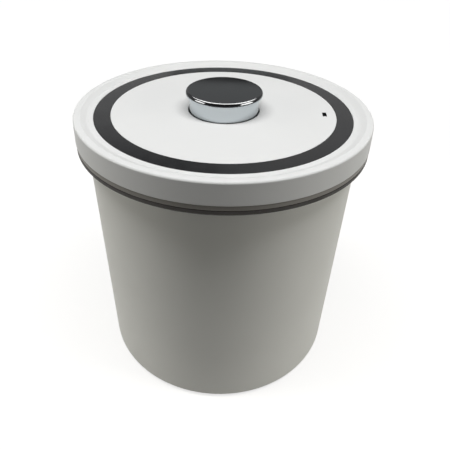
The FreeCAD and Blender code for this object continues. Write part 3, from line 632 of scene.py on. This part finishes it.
basePlastic = {"pale": (0.335, 0.32, 0.298), "deep": (0.305, 0.291, 0.272), "rough": (0.42, 0.52), "gloss": 0.12,
               "mottle": 30, "wave": 100, "waveStrength": 0.12, "grain": 1300, "grainStrength": 0.12}
pumpPlastic = {"pale": (0.30, 0.31, 0.32), "deep": (0.25, 0.26, 0.27), "rough": (0.36, 0.48), "gloss": 0.45,
               "mottle": 70, "wave": 160, "waveStrength": 0.1, "grain": 1800, "grainStrength": 0.12}
blackRubber = {"pale": (0.022, 0.022, 0.022), "deep": (0.014, 0.014, 0.014), "rough": (0.55, 0.70), "gloss": 0.35,
               "mottle": 140, "wave": 300, "waveStrength": 0.1, "grain": 2400, "grainStrength": 0.25}
valveSilicone = {"pale": (0.56, 0.14, 0.06), "deep": (0.48, 0.10, 0.045), "rough": (0.40, 0.52), "gloss": 0.45,
                 "mottle": 160, "wave": 320, "waveStrength": 0.1, "grain": 2200, "grainStrength": 0.15}
sealSilicone = {"pale": (0.052, 0.047, 0.042), "deep": (0.038, 0.034, 0.031), "rough": (0.50, 0.62), "gloss": 0.4,
                "mottle": 160, "wave": 320, "waveStrength": 0.1, "grain": 2200, "grainStrength": 0.2}
pinPlastic = {"pale": (0.018, 0.018, 0.019), "deep": (0.012, 0.012, 0.013), "rough": (0.34, 0.44), "gloss": 0.45,
              "mottle": 200, "wave": 400, "waveStrength": 0.1, "grain": 2600, "grainStrength": 0.15}
screwSteel = {"pale": (0.66, 0.65, 0.63), "deep": (0.50, 0.49, 0.47), "rough": (0.20, 0.32), "along": (1, 1, 6)}

dress(mouldedPlastic("base plastic", basePlastic).material, "lid_base", "filter_cap")
dress(mouldedPlastic("pump plastic", pumpPlastic).material, "pump_barrel", "barrel_nut", "barrel_gland", "pump_rod",
      "piston")
dress(mouldedPlastic("black rubber", blackRubber).material, "barrel_seal", "piston_ring")
dress(mouldedPlastic("valve silicone", valveSilicone).material, "intake_valve", "exhaust_valve")
dress(mouldedPlastic("small seal silicone", sealSilicone).material, "screw_seals", "release_seal")
dress(mouldedPlastic("pin plastic", pinPlastic).material, "release_pin", "release_poppet")
dress(makeSteel("screw steel", screwSteel, screwSteel["along"]), "cover_screws", "knob_screw", "piston_screw")
print("CAD nodes dressed")


# camera at the photograph's angle

view = {"place": (16.793, -223.352, 243.875), "turn": (52.9370, -1.3986, 4.7488), "lens": 36.186, "sensor": 36,
        "nearest": 10}
bpy.ops.object.camera_add(location=[value * mm for value in view["place"]],
                          rotation=[math.radians(value) for value in view["turn"]])
camera = bpy.context.object
camera.data.lens = view["lens"]
camera.data.sensor_width = view["sensor"]
camera.data.clip_start = view["nearest"] * mm
bpy.context.scene.camera = camera


# pale studio: floor with a painted pool of light, sky and soft lamps, and the cards, walls and panels that gloss
# shows

studio = {
    # the floor's colour near the canister and far off is a painted pool of light
    "floorSize": 6.0, "paintedPoolNear": (0.42, 0.415, 0.40), "paintedPoolFar": (0.07, 0.07, 0.07), "paintedPoolRadius": 0.6,
    "floorGlow": (1.0, 0.68), "skyDiffuse": 0.008, "skySeen": 1.0,
    "lamps": {
        "topSoftbox": {"at": (0.0, -0.10, 0.95), "aim": (0, -0.099, 0), "size": (1.3, 0.2), "power": 9.4,
                       "tone": (1.0, 1.0, 1.0)},
        "leftSoftbox": {"at": (-0.73, -0.13, 0.18), "aim": (0, 0, 0.07), "size": (0.4, 0.6), "power": 1.65,
                        "tone": (1.0, 0.98, 0.90)},
        "rightSoftbox": {"at": (0.73, -0.13, 0.18), "aim": (0, 0, 0.07), "size": (0.4, 0.6), "power": 1.75,
                         "tone": (1.0, 0.98, 0.90)},
    },
    "cardShade": (0.02, 0.02, 0.02),
    "cards": {
        "darkCard": {"at": (0.0, -0.40, 0.606), "aim": (0, 0, 0.16), "size": (1.8, 1.8)},
        "darkStrip": {"at": (-0.01, 0.20, 0.2148), "aim": (-0.01, 0, 0.2148), "size": (0.11, 0.0256)},
        "darkLeft": {"at": (-0.40, 1.1, 0.86), "aim": (-0.40, 0, 0.86), "size": (0.62, 0.16)},
    },
    "wall": {"radius": 1.4, "top": 1.2, "sides": 96, "shade": (0.37, 0.39, 0.395)},
    "panels": {
        "stripPanel": {"at": (0.0, 0.407, 1.074), "aim": (0, 0, 0.16), "size": (1.0, 1.0), "strength": 22,
                       "only": "knobCapEdge"},
        "leftEnd": {"at": (-0.60, -0.23, 0.42), "aim": (0, -0.23, 0.42), "size": (0.40, 0.50), "strength": 22,
                    "only": "knobCapEdge"},
        "rightEnd": {"at": (0.60, -0.20, 0.42), "aim": (0, -0.20, 0.42), "size": (0.48, 0.50), "strength": 26,
                     "only": "knobCapEdge"},
        "rightPanel": {"at": (0.37, 1.15, 0.75), "aim": (0.37, 0, 0.75), "size": (0.60, 0.55), "strength": 0.45,
                       "only": None},
        "leftPanel": {"at": (-0.50, 1.15, 0.60), "aim": (-0.50, 0, 0.60), "size": (0.50, 0.30), "strength": 0.5,
                      "only": None},
    },
}


def aimed(spot, target):
    return (Vector(target) - Vector(spot)).to_track_quat("-Z", "Y").to_euler()


def seenShare(nodes, links):
    # one for rays that show the surroundings: camera, mirror and glass
    path = nodes.new("ShaderNodeLightPath")
    share = path.outputs["Is Camera Ray"]
    for ray in ("Is Glossy Ray", "Is Transmission Ray"):
        either = nodes.new("ShaderNodeMath")
        either.operation = "MAXIMUM"
        links.new(share, either.inputs[0])
        links.new(path.outputs[ray], either.inputs[1])
        share = either.outputs[0]
    return share


def bareMaterial(name):
    # nothing in it but the output
    material = bpy.data.materials.new(name)
    material.use_nodes = True
    nodes = material.node_tree.nodes
    nodes.remove(nodes["Principled BSDF"])
    return material, nodes, material.node_tree.links


def glowing(name, colour, strength):
    material, nodes, links = bareMaterial(name)
    shine = nodes.new("ShaderNodeEmission")
    shine.inputs["Color"].default_value = (*colour, 1)
    shine.inputs["Strength"].default_value = strength
    links.new(shine.outputs[0], nodes["Material Output"].inputs["Surface"])
    return material


def onlyInGloss(thing, name, material):
    # gloss and chrome show it, and nothing else does
    thing.name = name
    thing.data.materials.append(material)
    thing.visible_camera = thing.visible_diffuse = thing.visible_shadow = False


def standSheet(name, sheet, material):
    bpy.ops.object.select_all(action="DESELECT")
    bpy.ops.mesh.primitive_plane_add(size=1, location=sheet["at"], rotation=aimed(sheet["at"], sheet["aim"]))
    board = bpy.context.object
    board.scale = (*sheet["size"], 1)
    onlyInGloss(board, name, material)
    return board


def makeFloor(c):
    bpy.ops.object.select_all(action="DESELECT")
    bpy.ops.mesh.primitive_plane_add(size=c["floorSize"])
    floor = bpy.context.object
    floor.name = "floor"
    paper, nodes, links = bareMaterial("floor paper")
    # the matt colour is a painted pool of light: pale near the canister and dark far off, so more light bounces onto
    # the canister's lower part
    matt = nodes.new("ShaderNodeBsdfDiffuse")
    spot = nodes.new("ShaderNodeTexCoord")
    spread = nodes.new("ShaderNodeMapping")
    spread.inputs["Scale"].default_value = (1 / c["paintedPoolRadius"],) * 3
    links.new(spot.outputs["Object"], spread.inputs["Vector"])
    paintedPool = nodes.new("ShaderNodeTexGradient")
    paintedPool.gradient_type = "SPHERICAL"
    links.new(spread.outputs["Vector"], paintedPool.inputs["Vector"])
    fade = nodes.new("ShaderNodeValToRGB")
    fade.color_ramp.elements[0].color = (*c["paintedPoolFar"], 1)
    fade.color_ramp.elements[1].color = (*c["paintedPoolNear"], 1)
    links.new(paintedPool.outputs["Fac"], fade.inputs["Fac"])
    links.new(fade.outputs["Color"], matt.inputs["Color"])
    glow = nodes.new("ShaderNodeEmission")
    # white far off, and near the canister room for its shadow
    white = nodes.new("ShaderNodeMapRange")
    white.inputs["To Min"].default_value, white.inputs["To Max"].default_value = c["floorGlow"]
    links.new(paintedPool.outputs["Fac"], white.inputs["Value"])
    strength = nodes.new("ShaderNodeMath")
    strength.operation = "MULTIPLY"
    links.new(seenShare(nodes, links), strength.inputs[0])
    links.new(white.outputs["Result"], strength.inputs[1])
    links.new(strength.outputs[0], glow.inputs["Strength"])
    both = nodes.new("ShaderNodeAddShader")
    links.new(matt.outputs[0], both.inputs[0])
    links.new(glow.outputs[0], both.inputs[1])
    links.new(both.outputs[0], nodes["Material Output"].inputs["Surface"])
    floor.data.materials.append(paper)


def makeSky(c):
    world = bpy.data.worlds.new("studio")
    bpy.context.scene.world = world
    world.use_nodes = True
    nodes, links = world.node_tree.nodes, world.node_tree.links
    sky = nodes["Background"]
    sky.inputs["Color"].default_value = (1, 1, 1, 1)
    level = nodes.new("ShaderNodeMapRange")
    level.inputs["To Min"].default_value = c["skyDiffuse"]
    level.inputs["To Max"].default_value = c["skySeen"]
    links.new(seenShare(nodes, links), level.inputs["Value"])
    links.new(level.outputs["Result"], sky.inputs["Strength"])


def makeLamps(c):
    for name, lamp in c["lamps"].items():
        bpy.ops.object.light_add(type="AREA", location=lamp["at"], rotation=aimed(lamp["at"], lamp["aim"]))
        softbox = bpy.context.object
        softbox.name = name
        softbox.data.shape = "RECTANGLE"
        softbox.data.size, softbox.data.size_y = lamp["size"]
        softbox.data.energy = lamp["power"]
        softbox.data.color = lamp["tone"]
        softbox.visible_camera = softbox.visible_glossy = False


def makeSurroundings(c):
    felt = bpy.data.materials.new("card felt")
    felt.use_nodes = True
    shader = felt.node_tree.nodes["Principled BSDF"]
    shader.inputs["Base Color"].default_value = (*c["cardShade"], 1)
    shader.inputs["Roughness"].default_value = 1.0
    for name, card in c["cards"].items():
        flag = standSheet(name, card, felt)

    # grey walls all round
    wall = c["wall"]
    bpy.ops.object.select_all(action="DESELECT")
    bpy.ops.mesh.primitive_cylinder_add(vertices=wall["sides"], radius=wall["radius"], depth=wall["top"],
                                        end_fill_type="NOTHING", location=(0, 0, wall["top"] / 2))
    walls = bpy.context.object
    onlyInGloss(walls, "studioWalls", glowing("wall paint", wall["shade"], 1))

    # bright panels, three of them for the line of light on the cap's edge alone
    for name, sheet in c["panels"].items():
        panel = standSheet(name, sheet, glowing(name, (1, 1, 1), sheet["strength"]))
        if sheet["only"]:
            lit = bpy.data.collections.new("lit by " + name)
            lit.objects.link(bpy.data.objects[sheet["only"]])
            panel.light_linking.receiver_collection = lit


makeFloor(studio)
makeSky(studio)
makeLamps(studio)
makeSurroundings(studio)
bpy.context.scene.view_settings.view_transform = "Standard"
print("studio set")
